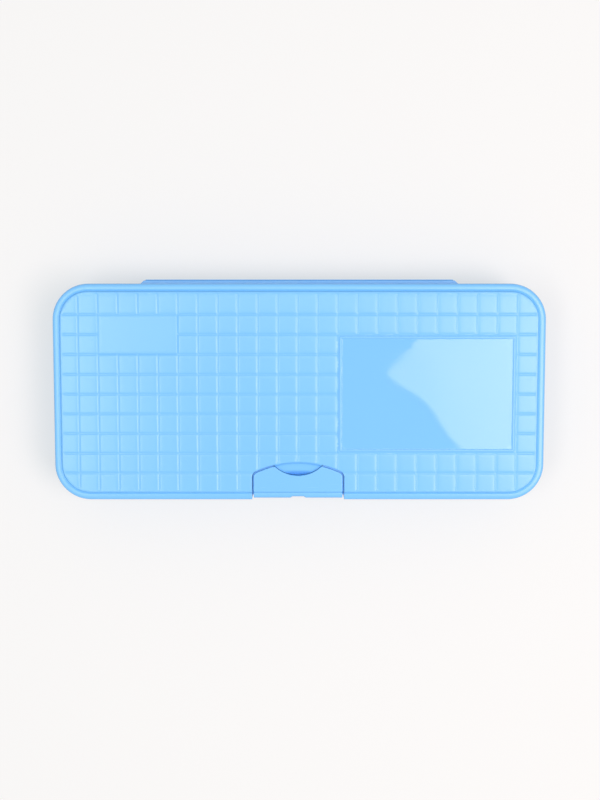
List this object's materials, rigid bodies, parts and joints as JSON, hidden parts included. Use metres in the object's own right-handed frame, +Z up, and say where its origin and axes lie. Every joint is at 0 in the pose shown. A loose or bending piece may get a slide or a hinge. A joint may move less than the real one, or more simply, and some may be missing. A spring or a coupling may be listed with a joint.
{
  "type": "pencil case",
  "caption": "Flat moulded box for pencils and pens, with a grooved lid on a film hinge, a smooth name plate and a front latch that swings down.",
  "frame": {"origin": "centre of the overall footprint, on the surface the case stands on", "axes": "+X along the case towards the name plate end, +Y from the latch to the hinge, +Z up"},
  "size_m": [0.2052, 0.0922, 0.032],
  "materials": {
    "tray_plastic": "glossy light blue moulded plastic",
    "lid_plastic": "glossy light blue moulded plastic with fine grain in the grooves",
    "film_plastic": "thin light blue plastic, satin where it bends",
    "latch_plastic": "glossy light blue moulded plastic",
    "pin_steel": "drawn steel wire"
  },
  "bodies": {
    "base": {"base_tray": "tray_plastic", "hinge_film": "film_plastic", "latch_pin": "pin_steel"},
    "lid": {"lid": "lid_plastic"},
    "latch": {"latch": "latch_plastic"}
  },
  "joints": [
    {"name": "lid_hinge", "type": "hinge", "parent": "base", "child": "lid", "pos_m": [0, 0.04595, 0.02], "axis": [-1, 0, 0], "range_deg": [0, 180], "deforming": ["hinge_film"]},
    {"name": "latch_swing", "type": "hinge", "parent": "base", "child": "latch", "pos_m": [-0.0005, -0.04333, 0.0065], "axis": [1, 0, 0], "range_deg": [0, 90]}
  ]
}
